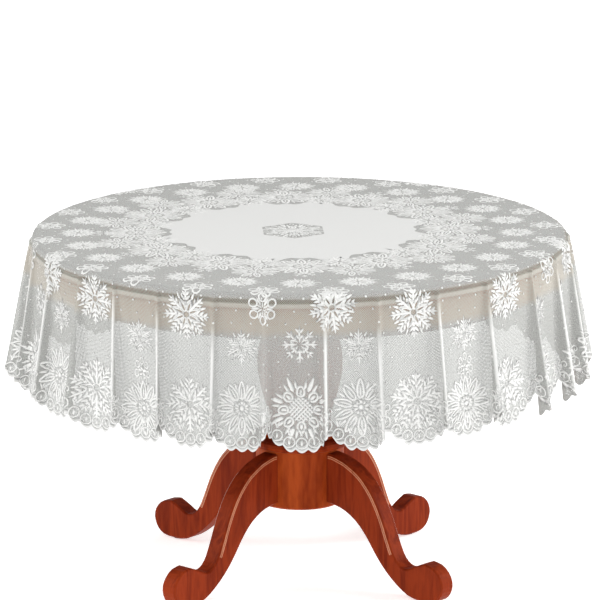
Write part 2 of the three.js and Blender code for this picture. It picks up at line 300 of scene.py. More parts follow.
def add_bump(tree, shader, height, strength, distance, invert=False):
    """Fine relief, of at most the given distance in metres."""
    bump = add_node(tree, "ShaderNodeBump", invert=invert)
    set_inputs(bump, {"Strength": strength, "Distance": distance})
    tree.links.new(height, bump.inputs["Height"])
    tree.links.new(bump.outputs["Normal"], shader.inputs["Normal"])


def object_place(tree, scale=(1.0, 1.0, 1.0)):
    """The piece's own coordinates, in metres times scale."""
    coordinate = add_node(tree, "ShaderNodeTexCoord")
    mapping = add_node(tree, "ShaderNodeMapping")
    mapping.inputs["Scale"].default_value = scale
    tree.links.new(coordinate.outputs["Object"], mapping.inputs["Vector"])
    return mapping.outputs["Vector"]


def cherry_material(name, settings, along, light=None, dark=None, roughness=0.42, coat=0.0,
                    gloss=0.04, figure=1.0):
    """Stained, lacquered cherry whose grain runs along one axis of the piece."""
    mat, tree, shader = new_material(name)
    light = tuple(light or settings.cherry_light)
    dark = tuple(dark or settings.cherry_dark)
    middle = tuple(0.5 * (a + b) for a, b in zip(light, dark))
    stretch = [settings.grain_length * figure] * 3
    stretch[along] = 1.0
    place = object_place(tree, stretch)
    broad = noise(tree, place, 3.2, detail=5.0, distortion=0.9)
    pores = noise(tree, place, 34.0, detail=3.0)
    rings = math_node(tree, "PINGPONG", math_node(tree, "MULTIPLY", broad, 6.5), 1.0)
    grain = math_node(tree, "ADD", math_node(tree, "MULTIPLY", rings, 0.55),
                      math_node(tree, "MULTIPLY", pores, 0.55))
    colour = colour_ramp(tree, grain, ((0.18, dark), (0.5, middle), (0.85, light)))
    tree.links.new(colour, shader.inputs["Base Color"])
    rough = math_node(tree, "ADD", math_node(tree, "MULTIPLY", pores, 0.16), roughness - 0.08)
    tree.links.new(rough, shader.inputs["Roughness"])
    add_bump(tree, shader, grain, 0.12, 0.0006)
    set_inputs(shader, {"Coat Weight": coat, "Coat Roughness": 0.12, "Specular IOR Level": gloss})
    return mat


def plain_material(name, scale, dark, light, roughness, strength, relief, detail=2.0,
                   stretch=(1.0, 1.0, 1.0)):
    """A mottled or streaked material without gloss, with fine relief."""
    mat, tree, shader = new_material(name)
    mottle = noise(tree, object_place(tree, stretch), scale, detail)
    colour = colour_ramp(tree, mottle, ((0.3, dark), (0.7, light)))
    tree.links.new(colour, shader.inputs["Base Color"])
    add_bump(tree, shader, mottle, strength, relief)
    shader.inputs["Roughness"].default_value = roughness
    return mat


def secondary_wood_material():
    """Unfinished poplar of the hidden blocks, plate, bearers and dowels."""
    return plain_material("poplar_unfinished", 14.0, (0.33, 0.22, 0.12), (0.52, 0.38, 0.23), 0.75,
                          0.3, 0.0005, detail=5.0, stretch=(1.0, 9.0, 9.0))


def zinc_material():
    """Zinc-plated steel of the rod, nuts, washers and screws."""
    mat, tree, shader = new_material("zinc_plated_steel")
    spangle = add_node(tree, "ShaderNodeTexVoronoi")
    spangle.inputs["Scale"].default_value = 420.0
    tree.links.new(object_place(tree), spangle.inputs["Vector"])
    colour = colour_ramp(tree, spangle.outputs["Distance"],
                         ((0.0, (0.50, 0.52, 0.54)), (1.0, (0.66, 0.67, 0.68))))
    tree.links.new(colour, shader.inputs["Base Color"])
    rough = math_node(tree, "ADD", math_node(tree, "MULTIPLY", spangle.outputs["Distance"], 0.2), 0.28)
    tree.links.new(rough, shader.inputs["Roughness"])
    shader.inputs["Metallic"].default_value = 1.0
    return mat


def glide_material():
    """Brown moulded nylon of the foot glides."""
    return plain_material("glide_nylon", 260.0, (0.055, 0.036, 0.026), (0.085, 0.058, 0.042), 0.5,
                          0.15, 0.0002)


def flat_place(tree, scale, turn=0.0):
    """The cloth's own flat coordinates, in metres times scale."""
    uv = add_node(tree, "ShaderNodeUVMap", uv_map="flat_cloth")
    mapping = add_node(tree, "ShaderNodeMapping")
    mapping.inputs["Scale"].default_value = (scale, scale, scale)
    mapping.inputs["Rotation"].default_value = (0.0, 0.0, turn)
    tree.links.new(uv.outputs["UV"], mapping.inputs["Vector"])
    return mapping.outputs["Vector"]


def across_and_down(tree, place):
    split = add_node(tree, "ShaderNodeSeparateXYZ")
    tree.links.new(place, split.inputs[0])
    return split.outputs[0], split.outputs[1]


def nearest_line(tree, place):
    """Distance from the nearest line of a square grid of unit cells, half a unit at most."""
    fraction = add_node(tree, "ShaderNodeVectorMath", operation="FRACTION")
    tree.links.new(place, fraction.inputs[0])
    across, down = (math_node(tree, "ABSOLUTE", math_node(tree, "SUBTRACT", side, 0.5))
                    for side in across_and_down(tree, fraction.outputs[0]))
    return math_node(tree, "MINIMUM", across, down)


def finish_thread(shader, roughness):
    """The dull, slightly downy surface of cotton thread."""
    set_inputs(shader, {"Roughness": roughness, "Specular IOR Level": 0.2, "Sheen Weight": 0.12})


def net_material(settings):
    """Fine diamond net of bleached thread: holes are cut by alpha."""
    mat, tree, shader = new_material("lace_net")
    nearest = nearest_line(tree, flat_place(tree, 1.0 / settings.net_pitch, math.radians(45)))
    flat = add_node(tree, "ShaderNodeUVMap", uv_map="flat_cloth").outputs["UV"]
    length = add_node(tree, "ShaderNodeVectorMath", operation="LENGTH")
    tree.links.new(flat, length.inputs[0])
    stretch = add_node(tree, "ShaderNodeMapRange")
    set_inputs(stretch, {"From Min": TABLE_RADIUS - 0.020, "From Max": TABLE_RADIUS + 0.080})
    tree.links.new(length.outputs["Value"], stretch.inputs["Value"])
    past_edge = stretch.outputs["Result"]
    # The net is stretched open where it turns over the table's edge, packs together where it
    # rests on the lower arris, and opens again just below. The bands are partly that stretch and
    # packing and partly painted light: the open band sets off a dark line over the edge, and the
    # packed band below it is a painted highlight.
    share = grey_ramp(tree, past_edge, (
        (0.00, 1.00), (0.19, 0.92), (0.225, 0.56), (0.285, 0.56), (0.32, 1.10),
        (0.37, 1.10), (0.41, 0.66), (0.48, 0.84), (0.80, 1.00)))
    opened = math_node(tree, "MULTIPLY", share, 0.5 * settings.net_thread)
    crest = add_node(tree, "ShaderNodeAttribute", attribute_name="fold_crest").outputs["Fac"]
    packed = math_node(tree, "ADD", opened, math_node(tree, "MULTIPLY", crest, 0.5))
    tree.links.new(math_node(tree, "LESS_THAN", nearest, packed), shader.inputs["Alpha"])
    white = tuple(settings.net_color)

    def tinted(red, green, blue):
        return white[0] * red, white[1] * green, white[2] * blue

    colour = colour_ramp(tree, noise(tree, flat, 420.0),
                         ((0.30, tinted(0.62, 0.62, 0.62)), (0.70, tinted(1.30, 1.30, 1.30))))
    # Painted reflected light: the net is tinted warm where it hangs close to the wood, standing in for light
    # off the wood.
    painted_wood_bounce = grey_ramp(tree, past_edge, ((0.15, 0.0), (0.25, 0.6), (0.45, 1.0), (0.85, 0.9), (1.0, 0.0)))
    colour = mixed_colour(tree, painted_wood_bounce, colour, tinted(1.03, 0.95, 0.86))
    # Painted shade: the open line over the table's edge is darkened and greyed in the net's colour, standing
    # in for the shadow along the edge.
    painted_edge_shade = grey_ramp(tree, past_edge, ((0.19, 0.0), (0.225, 1.0), (0.285, 1.0), (0.32, 0.0)))
    colour = mixed_colour(tree, painted_edge_shade, colour, tinted(0.76, 0.78, 0.70))
    # Threads bunch together along the crest of a fold, which packs the net there; the cord-white colour on
    # the crest is a painted highlight.
    colour = mixed_colour(tree, crest, colour, tuple(1.15 * c for c in settings.color))
    tree.links.new(colour, shader.inputs["Base Color"])
    add_bump(tree, shader, nearest, 0.5, THREAD_RELIEF, invert=True)
    finish_thread(shader, 0.85)
    return mat


def weave_material(name, settings, pitch, brighten, depth, pierced=0.0):
    """Close-woven thread whose ridges cross at the given pitch.

    pierced is the pitch of small square openings between the threads, or 0 for none."""
    mat, tree, shader = new_material(name)
    across, down = (math_node(tree, "ABSOLUTE", math_node(tree, "SINE", side))
                    for side in across_and_down(tree, flat_place(tree, math.pi / pitch)))
    ridge = math_node(tree, "MAXIMUM", across, down)
    white = tuple(min(0.93, c * brighten) for c in settings.color)
    colour = colour_ramp(tree, ridge, ((0.3, tuple(c * 0.8 for c in white)), (0.9, white)))
    tree.links.new(colour, shader.inputs["Base Color"])
    add_bump(tree, shader, ridge, depth, THREAD_RELIEF)
    finish_thread(shader, 0.8)
    if pierced:
        nearest = nearest_line(tree, flat_place(tree, 1.0 / pierced))
        tree.links.new(math_node(tree, "LESS_THAN", nearest, 0.5 * PIERCED_THREAD), shader.inputs["Alpha"])
    return mat


def lace_material(name):
    """A material of the cloth, made the first time that it is asked for."""
    cloth = bpy.context.scene.lace_cloth
    made = bpy.data.materials.get(name)
    if made:
        return made
    return net_material(cloth) if name == "lace_net" else weave_material(name, cloth, *WEAVES[name])


def floor_material():
    """White studio floor that gives off some of its own light."""
    mat, tree, shader = new_material("studio_floor")
    colour = colour_ramp(tree, noise(tree, object_place(tree), 0.8),
                         ((0.3, (0.93, 0.93, 0.93)), (0.7, (0.96, 0.96, 0.96))))
    tree.links.new(colour, shader.inputs["Base Color"])
    set_inputs(shader, {"Emission Color": (1.0, 1.0, 1.0, 1.0), "Emission Strength": 0.6, "Roughness": 0.95})
    return mat


# ---------------------------------------------------------------- the drape


def fold_azimuths():
    """Material azimuth of every fold, in radians, going once round the cloth."""
    front = list(FRONT_FOLDS)
    rest = FOLD_TOTAL - len(front)
    gap = (front[0] + 360.0 - front[-1]) / (rest + 1)
    others = [front[-1] + gap * (i + 1) + UNEVEN * math.sin(2.3 * i) for i in range(rest)]
    return np.radians(np.array(front + others))


def hem_radius(cloth, azimuth):
    """Flat radius of the lobed and scalloped hem at an azimuth round the cloth's middle."""
    half = LACE_REPEAT / 2
    local = (azimuth - REPEAT_TURN + half) % LACE_REPEAT - half
    rise = np.clip((np.abs(local) / half - LOBE_LEVEL) / (1 - LOBE_LEVEL), 0, 1)
    lobe = LOBE_DEPTH * rise ** 1.3
    scallop = SCALLOP_RISE * np.abs(np.cos(SCALLOPS / 2 * math.pi * local / half))
    return cloth.diameter / 2 - SCALLOP_RISE - lobe + scallop


def drop_share(cloth, s):
    """How far down the hang a flat distance lies: 0 at the table's edge and 1 at the hem."""
    return np.clip((s - TABLE_RADIUS) / (cloth.diameter / 2 - TABLE_RADIUS), 0.0, 1.0)


def skirt_line(cloth, s):
    """Radius and height of the cloth's panels at flat distance s from the table's axis."""
    bend = cloth.edge_bend
    start = TABLE_RADIUS + EDGE_GAP - bend
    first = math.radians(1.0)
    turn = math.pi / 2 - first
    drop = cloth.diameter / 2 - TABLE_RADIUS
    angle = np.clip((s - start) / bend, 0, turn)
    past = np.maximum(s - start - bend * turn, 0.0)
    lean = first + 0.5 * (cloth.flare - first) * past / drop
    radius = np.minimum(s, start) + bend * np.sin(angle) + past * np.sin(lean)
    height = TABLE_TOP_Z + TOP_GAP - bend * (1 - np.cos(angle)) - past * np.cos(lean)
    return radius, height


def smooth(share):
    """Eased step from 0 to 1."""
    share = np.clip(share, 0, 1)
    return share * share * (3 - 2 * share)


def fold_profile(length, width, steep):
    """Across one half of a fold: from its crest to the middle of the panel beside it.

    length is the cloth in that half and width the room it has. Returns the place along the
    room and the height above the panel for evenly spaced samples of the cloth."""
    t = np.linspace(0.0, length, FOLD_SAMPLES)
    step = t[1]

    def lean(side):
        return steep * smooth(t / FOLD_CREST) * (1 - smooth((t - side) / FOLD_FOOT))

    # The steep side is as long as it takes to use up the cloth.
    low, high = 0.0, length
    for _ in range(26):
        side = 0.5 * (low + high)
        run = np.sum(np.cos(lean(side)[:-1])) * step
        low, high = (side, high) if run > width else (low, side)
    psi = lean(0.5 * (low + high))
    psi = 0.5 * (psi[1:] + psi[:-1])
    along = np.concatenate(([0.0], np.cumsum(np.cos(psi) * step)))
    fall = np.concatenate(([0.0], np.cumsum(np.sin(psi) * step)))
    return along * (width / along[-1]), fall[-1] - fall


class Drape:
    """Table of the hanging cloth: flat place round the table's axis to place in the room."""

    def __init__(self, cloth):
        self.cloth = cloth
        self.s = np.arange(0.0, cloth.diameter / 2 + SPARE_REACH + DRAPE_STEP, DRAPE_STEP)
        self.theta = np.linspace(-math.pi, math.pi, DRAPE_COLUMNS + 1)
        self.growth = drop_share(cloth, self.s)
        self.radius, height = skirt_line(cloth, self.s)
        self.azimuth = np.tile(self.theta, (len(self.s), 1))
        self.out = np.zeros_like(self.azimuth)
        self.crest = np.zeros_like(self.azimuth)
        self.gather()
        # The folds of the left front swing towards the middle as they fall.
        swing = np.exp(-((np.degrees(self.theta) - SWING_MIDDLE) / SWING_WIDTH) ** 2)
        self.azimuth += cloth.swing * self.growth[:, None] * swing[None, :]
        r = self.radius[:, None] + self.out
        self.points = np.stack([r * np.sin(self.azimuth), -r * np.cos(self.azimuth),
                                np.broadcast_to(height[:, None], r.shape)], axis=-1)
        across = np.gradient(self.points, axis=1)
        across[:, 0] = across[:, -1] = 0.5 * (across[:, 0] + across[:, -1])
        normal = np.cross(np.gradient(self.points, axis=0), across)
        normal[0] = (0.0, 0.0, 1.0)
        self.normals = normal / np.maximum(np.linalg.norm(normal, axis=-1, keepdims=True), 1e-12)

    def gather(self):
        """Takes up the cloth that each ring of the hang has to spare, half a fold at a time."""
        full = 2 * math.pi
        folds = (fold_azimuths() + math.pi) % full - math.pi
        order = np.argsort(folds)
        folds = folds[order]
        middles = 0.5 * (folds + np.roll(folds, -1))
        middles[-1] = 0.5 * (folds[-1] + folds[0] + full)
        before = np.roll(middles, 1)
        before[0] -= full
        for k, crest in enumerate(folds):
            firmness = SOFT_FOLDS.get(int(order[k]), 1.0)
            for side, edge in ((-1, before[k]), (1, middles[k])):
                span = abs(edge - crest)
                offset = (self.theta - crest + math.pi) % full - math.pi
                inside = (side * offset >= 0) & (np.abs(offset) <= span + 1e-9)
                share = np.abs(offset[inside]) / span
                for i in np.flatnonzero((self.s - self.radius) * span >= LEAST_SLACK):
                    self.fold_ring(i, k, crest, side, span, inside, share, firmness)

    def fold_ring(self, i, k, crest, side, span, inside, share, firmness):
        """Lays one half of fold k into ring i of the table."""
        growth = self.growth[i]
        length = self.s[i] * span
        steep = firmness * self.cloth.fold_angle * (0.60 + 0.40 * growth ** 0.5)
        along, rise = fold_profile(length, self.radius[i] * span, steep)
        at = share * length
        grid = np.linspace(0, length, FOLD_SAMPLES)
        self.azimuth[i, inside] = crest + side * np.interp(at, grid, along) / self.radius[i]
        sag = PANEL_SAG * growth * (0.5 - 0.5 * np.cos(math.pi * share)) ** 2
        self.out[i, inside] = np.interp(at, grid, rise) - sag
        # The line of bunched thread and painted highlight along the crest starts lower on some
        # folds than on others, and a soft fold has none.
        near = np.clip(1.0 - (at - CREST_LINE) / CREST_FADE, 0, 1)
        near *= max(firmness - SOFTEST, 0.0) / (1.0 - SOFTEST)
        first = 0.05 + 0.16 * (0.5 + 0.5 * math.sin(2.1 * k))
        self.crest[i, inside] = near * min(max(growth - first, 0.0) / 0.2, 1.0)

    def polar(self, s, theta):
        """Places, outward normals and nearness to a crest, for flat distances and azimuths
        round the table's axis."""
        full = 2 * math.pi
        i = np.clip(s / DRAPE_STEP, 0, len(self.s) - 1.001)
        j = np.clip((theta + math.pi) % full / full * DRAPE_COLUMNS, 0, DRAPE_COLUMNS - 1e-6)
        i0, j0 = i.astype(int), j.astype(int)
        a, b = (i - i0)[:, None], (j - j0)[:, None]

        def mixed(field):
            return ((1 - a) * (1 - b) * field[i0, j0] + a * (1 - b) * field[i0 + 1, j0]
                    + (1 - a) * b * field[i0, j0 + 1] + a * b * field[i0 + 1, j0 + 1])

        normal = mixed(self.normals)
        normal /= np.maximum(np.linalg.norm(normal, axis=1, keepdims=True), 1e-9)
        return mixed(self.points), normal, mixed(self.crest[..., None])[:, 0]

    def flat(self, xy):
        """Places and normals for points of the flat cloth, measured from its middle."""
        x = xy[:, 0] + self.cloth.shift_x
        y = xy[:, 1] + self.cloth.shift_y
        return self.polar(np.hypot(x, y), np.arctan2(x, -y))[:2]


@functools.cache
def the_drape():
    """The drape that the pieces of the cloth share."""
    return Drape(bpy.context.scene.lace_cloth)


# ---------------------------------------------------------------- pieces


def mesh_of(bm, name):
    """Turns a bmesh into a mesh."""
    mesh = bpy.data.meshes.new(name)
    bm.to_mesh(mesh)
    bm.free()
    return mesh


def finished(bm, name, material, body):
    """Turns a bmesh into a piece that rides on a body."""
    mesh = mesh_of(bm, name)
    for polygon in mesh.polygons:
        polygon.use_smooth = True
    piece = bpy.data.objects.new(name, mesh)
    bpy.context.scene.collection.objects.link(piece)
    mesh.materials.append(material)
    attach(piece, body)
    return piece


def stack_strokes(bm, step=0.00004, levels=11):
    """Raises each stroke by its own small step, so that strokes that cross lie over each other."""
    level = -1
    for vert in bm.verts:
        vert.tag = False
    for first in bm.verts:
        if first.tag:
            continue
        level = (level + 1) % levels
        first.tag = True
        waiting = [first]
        while waiting:
            vert = waiting.pop()
            vert.co.z = step * level
            for edge in vert.link_edges:
                other = edge.other_vert(vert)
                if not other.tag:
                    other.tag = True
                    waiting.append(other)


def lay_on_cloth(bm, lift, longest, thickness):
    """Cuts a flat pattern finely enough to follow the folds and lays it on the draped cloth."""
    stack_strokes(bm)
    for _ in range(3):
        long_edges = [e for e in bm.edges if e.calc_length() > longest]
        if not long_edges:
            break
        bmesh.ops.subdivide_edges(bm, edges=long_edges, cuts=1, use_grid_fill=True)
        bmesh.ops.triangulate(bm, faces=[f for f in bm.faces if len(f.verts) > 4])
    uv = bm.loops.layers.uv.get("flat_cloth") or bm.loops.layers.uv.new("flat_cloth")
    flat = np.array([v.co[:2] for v in bm.verts], float).reshape(-1, 2)
    for face in bm.faces:
        for loop in face.loops:
            loop[uv].uv = loop.vert.co.xy
    places, normals = the_drape().flat(flat)
    for vert, place, normal in zip(bm.verts, places, normals):
        vert.co = Vector(place + normal * (lift + vert.co.z))
    bmesh.ops.solidify(bm, geom=bm.faces[:], thickness=thickness)


def petal(bm, size, length, width, start=0.0, tip=0.75, outline=0.0, turn=0.0, sides=10, move=(0, 0)):
    """One leaf or petal that points away from the middle, solid or as a corded outline.

    Lengths are shares of size. A petal starts at start, is turned round the middle and is then
    moved."""
    verts = bmesh.ops.create_circle(bm, cap_ends=True, segments=sides, radius=0.5)["verts"]
    for vert in verts:
        reach = vert.co.y + 0.5
        vert.co.x *= size * width * (1.0 - tip * reach)
        vert.co.y = size * (start + reach * length)
    if outline:
        face = list({f for v in verts for f in v.link_faces})
        inner = bmesh.ops.inset_individual(bm, faces=face, thickness=size * outline)
        bmesh.ops.delete(bm, geom=face, context="FACES_ONLY")
        verts = list({v for f in inner["faces"] for v in f.verts})
    bmesh.ops.rotate(bm, verts=verts, cent=(0, 0, 0), matrix=Matrix.Rotation(turn, 3, "Z"))
    bmesh.ops.translate(bm, verts=verts, vec=(size * move[0], size * move[1], 0))


def around(bm, count):
    """Repeats everything drawn so far round the middle."""
    bmesh.ops.spin(bm, geom=bm.verts[:] + bm.edges[:] + bm.faces[:], cent=(0, 0, 0), axis=(0, 0, 1),
                   angle=2 * math.pi * (count - 1) / count, steps=count - 1, use_duplicate=True)


def as_motif(draw):
    """Makes a drawing into a mesh that can be placed many times."""
    @functools.wraps(draw)
    def drawn(*sizes):
        bm = bmesh.new()
        draw(bm, *sizes)
        return mesh_of(bm, draw.__name__)
    return drawn


@contextlib.contextmanager
def ring(bm, count):
    """A drawing that is repeated round the middle and then added to bm."""
    part = bmesh.new()
    yield part
    around(part, count)
    mesh = mesh_of(part, "ring")
    bm.from_mesh(mesh)
    bpy.data.meshes.remove(mesh)


@as_motif
def feathered_flake(bm, radius, arms=8, pairs=3):
    """Snowflake with pointed feathered arms."""
    with ring(bm, arms) as part:
        petal(part, radius, 0.92, 0.12, 0.08, tip=0.3, sides=8)
        for i in range(pairs):
            for side in (-1, 1):
                petal(part, radius, 0.36 - 0.07 * i, 0.15, tip=0.6, sides=6, turn=side * 0.75,
                      move=(0, 0.34 + 0.19 * i))
    with ring(bm, arms) as part:
        petal(part, radius, 0.46, 0.24, 0.1, tip=0.5, outline=0.05, turn=math.pi / arms, sides=8)
        petal(part, radius, 0.30, 0.13, 0.60, tip=0.6, turn=math.pi / arms, sides=6)


@as_motif
def looped_star(bm, radius, petals=10):
    """Daisy of outlined, pointed petals, each with a vein, round a ringed eye."""
    with ring(bm, petals) as part:
        petal(part, radius, 0.72, 0.38, 0.28, tip=0.35, outline=0.08)
        petal(part, radius, 0.5, 0.10, 0.3, tip=0.5, sides=6)
        petal(part, radius, 0.18, 0.09, 0.10, tip=-0.4, sides=6)
        petal(part, radius, 0.34, 0.13, 0.62, tip=0.6, turn=math.pi / petals, sides=6)
    bmesh.ops.create_circle(bm, cap_ends=True, segments=10, radius=radius * 0.09)


@as_motif
def lattice_rose(bm, radius):
    """Diamond lattice ringed by outlined petals and pointed leaves."""
    reach = radius * 0.42
    bars = 4
    for i in range(-bars, bars + 1):
        offset = i * reach / bars
        half = math.sqrt(max(reach ** 2 - offset ** 2, 0.0))
        if half < reach * 0.2:
            continue
        for turn in (math.pi / 4, -math.pi / 4):
            verts = bmesh.ops.create_grid(bm, x_segments=1, y_segments=2, size=1.0)["verts"]
            bmesh.ops.scale(bm, verts=verts, vec=(radius * 0.034, half, 1))
            bmesh.ops.translate(bm, verts=verts, vec=(offset, 0, 0))
            bmesh.ops.rotate(bm, verts=verts, cent=(0, 0, 0), matrix=Matrix.Rotation(turn, 3, "Z"))
    with ring(bm, 8) as part:
        petal(part, radius, 0.42, 0.38, 0.38, tip=0.15, outline=0.08)
        petal(part, radius, 0.24, 0.15, 0.45, tip=0.4, sides=6)
    with ring(bm, 8) as part:
        petal(part, radius, 0.56, 0.21, 0.62, tip=0.7, turn=math.pi / 8, sides=8)
        for side in (-1, 1):
            petal(part, radius, 0.36, 0.14, 0.66, tip=0.6, turn=math.pi / 8 + side * 0.2, sides=6)


@as_motif
def lobed_flake(bm, radius, lobes=6):
    """Small flake of rounded outlined lobes."""
    with ring(bm, lobes) as part:
        petal(part, radius, 0.62, 0.56, 0.38, tip=-0.1, outline=0.1)
        petal(part, radius, 0.36, 0.12, 0.06, tip=0.0, sides=6)
    with ring(bm, lobes) as part:
        petal(part, radius, 0.55, 0.2, 0.2, tip=0.5, turn=math.pi / lobes, sides=6)


@as_motif
def arrow_flake(bm, radius, arms=8):
    """Small flake whose arms end in arrow tips."""
    with ring(bm, arms) as part:
        petal(part, radius, 0.93, 0.13, 0.07, tip=0.2, sides=6)
        for start, size in ((0.3, 0.26), (0.6, 0.3)):
            for side in (-1, 1):
                petal(part, radius, size, 0.17, tip=0.5, sides=6, turn=side * 0.8, move=(0, start))


@as_motif
def posy(bm, radius):
    """Upright oval sprig: a lobed oval over a spray of leaves."""
    with ring(bm, 7) as part:
        petal(part, radius, 0.42, 0.4, 0.3, tip=0.0, outline=0.07, sides=8)
    bmesh.ops.scale(bm, verts=bm.verts[:], vec=(0.85, 1.25, 1))
    with ring(bm, 5) as part:
        petal(part, radius, 0.34, 0.24, tip=0.2, sides=6)


@as_motif
def hem_loop(bm, length):
    """Outlined loop with a leaf in it, which sits over one scallop of the hem."""
    petal(bm, length, 1.0, 0.98, tip=-0.15, outline=0.115, turn=math.pi, sides=12)
    petal(bm, length, 0.55, 0.24, 0.2, tip=0.2, turn=math.pi, sides=6)
    for side in (-1, 1):
        petal(bm, length, 0.7, 0.26, tip=0.6, sides=6, turn=side * 0.5, move=(side * 0.1, 0.05))


def place_pattern(bm, motif, distance, azimuth, turn=0.0):
    """Copies a motif onto the flat cloth at a distance and azimuth from its middle, top inwards."""
    first = len(bm.verts)
    bm.from_mesh(motif)
    bm.verts.ensure_lookup_table()
    place = (Matrix.Translation((distance * math.sin(azimuth), -distance * math.cos(azimuth), 0))
             @ Matrix.Rotation(azimuth + turn, 4, "Z"))
    bmesh.ops.transform(bm, matrix=place, verts=bm.verts[first:])


def lay_thread(bm, name, lift=0.0003, longest=FLAT_EDGE, thickness=0.0004, thread="lace_thread"):
    """Lays a drawing on the cloth as a piece of lace, and returns the piece."""
    lay_on_cloth(bm, lift, longest, thickness)
    return finished(bm, name, lace_material(thread), "tablecloth")


class LACE_OT_cloth(bpy.types.Operator):
    """Drapes the net of the tablecloth over the table"""

    bl_idname = "lace.cloth"
    bl_label = "Drape cloth"

    def execute(self, context):
        cloth = context.scene.lace_cloth
        the_drape.cache_clear()
        edge = TABLE_RADIUS - cloth.edge_bend
        # Rings of the mesh: over the top, round the edge, then shares of the drop to the hem.
        top = [*np.linspace(0, edge - 0.02, 8), edge - 0.008]
        fixed = np.array([*top, *np.linspace(edge, edge + cloth.edge_bend * 1.6, 6)])
        drop = np.linspace(0, 1, DROP_ROWS + 1)[1:]
        rows = len(fixed) + len(drop) - 1
        columns = FOLD_TOTAL * 42
        bm = bmesh.new()
        bmesh.ops.create_grid(bm, x_segments=columns, y_segments=rows, size=1.0)
        co = np.array([v.co[:2] for v in bm.verts], float)
        column = np.rint((co[:, 0] + 1) / 2 * columns).astype(int)
        row = np.rint((co[:, 1] + 1) / 2 * rows).astype(int)
        theta = -math.pi + 2 * math.pi * column / columns
        # The hem's flat distance from the table's axis, for every column.
        hem = np.full(len(theta), cloth.diameter / 2)
        for _ in range(4):
            x = hem * np.sin(theta) - cloth.shift_x
            y = -hem * np.cos(theta) - cloth.shift_y
            hem = hem + hem_radius(cloth, np.arctan2(x, -y)) - np.hypot(x, y)
        above = row < len(fixed)
        share = drop[np.clip(row - len(fixed), 0, len(drop) - 1)]
        s = np.where(above, fixed[np.minimum(row, len(fixed) - 1)], fixed[-1] + (hem - fixed[-1]) * share)
        places, _, crests = the_drape().polar(s, np.clip(theta, -math.pi, math.pi - 1e-9))
        flat = np.stack([s * np.sin(theta) - cloth.shift_x, -s * np.cos(theta) - cloth.shift_y], axis=1)
        uv = bm.loops.layers.uv.new("flat_cloth")
        bm.verts.index_update()
        for face in bm.faces:
            for loop in face.loops:
                loop[uv].uv = flat[loop.vert.index]
        crest = bm.verts.layers.float.new("fold_crest")
        for vert, place, near in zip(bm.verts, places, crests):
            vert.co = place
            vert[crest] = near
        bmesh.ops.remove_doubles(bm, verts=bm.verts[:], dist=JOIN)
        bmesh.ops.recalc_face_normals(bm, faces=bm.faces[:])
        piece = finished(bm, "lace_tablecloth", lace_material("lace_net"), "tablecloth")
        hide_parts("tablecloth")
        return {"FINISHED"}


class LACE_OT_middle(bpy.types.Operator):
    """Weaves the solid middle of the cloth and its pierced medallion"""

    bl_idname = "lace.middle"
    bl_label = "Woven middle"

    def execute(self, context):
        cloth = context.scene.lace_cloth
        bm = bmesh.new()
        outer = bmesh.ops.create_circle(bm, cap_ends=False, segments=240, radius=cloth.solid_radius)["verts"]
        for vert in outer:
            angle = math.atan2(vert.co.x, -vert.co.y)
            vert.co.xy *= 1.0 - 0.045 * math.cos(12 * angle) + 0.02 * math.cos(36 * angle)
        inner = bmesh.ops.create_circle(bm, cap_ends=False, segments=240, radius=0.064)["verts"]
        for vert in inner:
            angle = math.atan2(vert.co.x, -vert.co.y)
            corner = abs((angle / (math.pi / 3) + 0.5) % 1 - 0.5) * 2
            vert.co.xy *= 1.0 + 0.16 * (1 - corner) ** 2
        bmesh.ops.bridge_loops(bm, edges=bm.edges[:])
        bmesh.ops.translate(bm, verts=bm.verts[:], vec=(*cloth.drift, 0))
        # The rings of this piece lie flat on the table, so no edge needs a cut.
        piece = lay_thread(bm, "lace_woven_middle", 0.0002, 0.5, 0.0003, "lace_linen")
        for polygon in piece.data.polygons:
            polygon.use_smooth = False

        bm = bmesh.new()
        bm.from_mesh(lattice_rose(0.056))
        with ring(bm, 18) as part:
            petal(part, 1.0, 0.016, 0.012, 0.052, tip=0.2, outline=0.0022, sides=8)
        bmesh.ops.translate(bm, verts=bm.verts[:], vec=(*cloth.drift, 0))
        lay_thread(bm, "lace_medallion")
        return {"FINISHED"}


class LACE_OT_wreath(bpy.types.Operator):
    """Works the wreath of flowers round the woven middle"""

    bl_idname = "lace.wreath"
    bl_label = "Wreath"

    def execute(self, context):
        bm = bmesh.new()
        rose = looped_star(0.068, 10)
        star = feathered_flake(0.050, 8, 2)
        daisy = looped_star(0.052, 9)
        leaf = arrow_flake(0.028, 6)
        for i in range(WREATH_FLOWERS):
            angle = i * 2 * math.pi / WREATH_FLOWERS
            between = angle + math.pi / WREATH_FLOWERS
            place_pattern(bm, rose, 0.337, angle)
            place_pattern(bm, leaf, 0.405, angle)
            place_pattern(bm, star, 0.308, between)
            place_pattern(bm, daisy, 0.388, between)
        bmesh.ops.translate(bm, verts=bm.verts[:], vec=(*context.scene.lace_cloth.drift, 0))
        lay_thread(bm, "lace_wreath")
        return {"FINISHED"}


